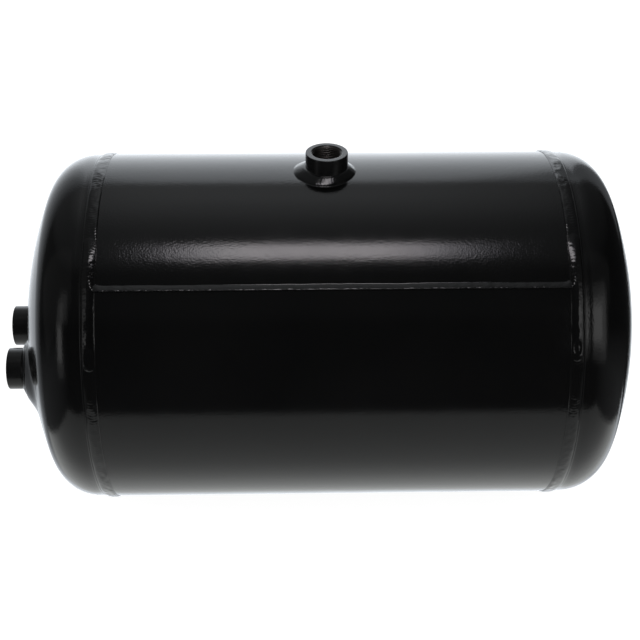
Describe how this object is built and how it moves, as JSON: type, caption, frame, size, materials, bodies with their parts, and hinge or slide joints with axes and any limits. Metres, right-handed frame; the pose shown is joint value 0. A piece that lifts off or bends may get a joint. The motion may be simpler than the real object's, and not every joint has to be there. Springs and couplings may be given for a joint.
{
  "type": "air receiver tank",
  "caption": "Horizontal welded steel air reservoir: rolled shell, dished heads and threaded M22 port bosses for compressed-air lines, painted gloss black.",
  "frame": {"origin": "on the tank's axis, half way between the two girth welds, where the middle of the strap seat is", "axes": "+X along the tank's axis, away from the head with the ports; +Z out of the shell port; the offset head port is towards -Y"},
  "size_m": [0.4926, 0.2784, 0.2928],
  "materials": {
    "shell_paint": "gloss black paint with a slight orange peel, over drawn and rolled steel sheet",
    "weld_paint": "gloss black paint over rippled weld metal",
    "boss_paint": "satin black paint over turned steel, thinner on the thread"
  },
  "bodies": {
    "root": {"shell": "shell_paint", "long_seam_weld": "weld_paint", "ported_head": "shell_paint", "plain_head": "shell_paint", "ported_girth_weld": "weld_paint", "plain_girth_weld": "weld_paint", "ported_girth_lap": "weld_paint", "plain_girth_lap": "weld_paint", "shell_port_boss": "boss_paint", "shell_port_weld": "weld_paint", "centre_port_boss": "boss_paint", "centre_port_weld": "weld_paint", "offset_port_boss": "boss_paint", "offset_port_weld": "weld_paint"}
  },
  "joints": []
}
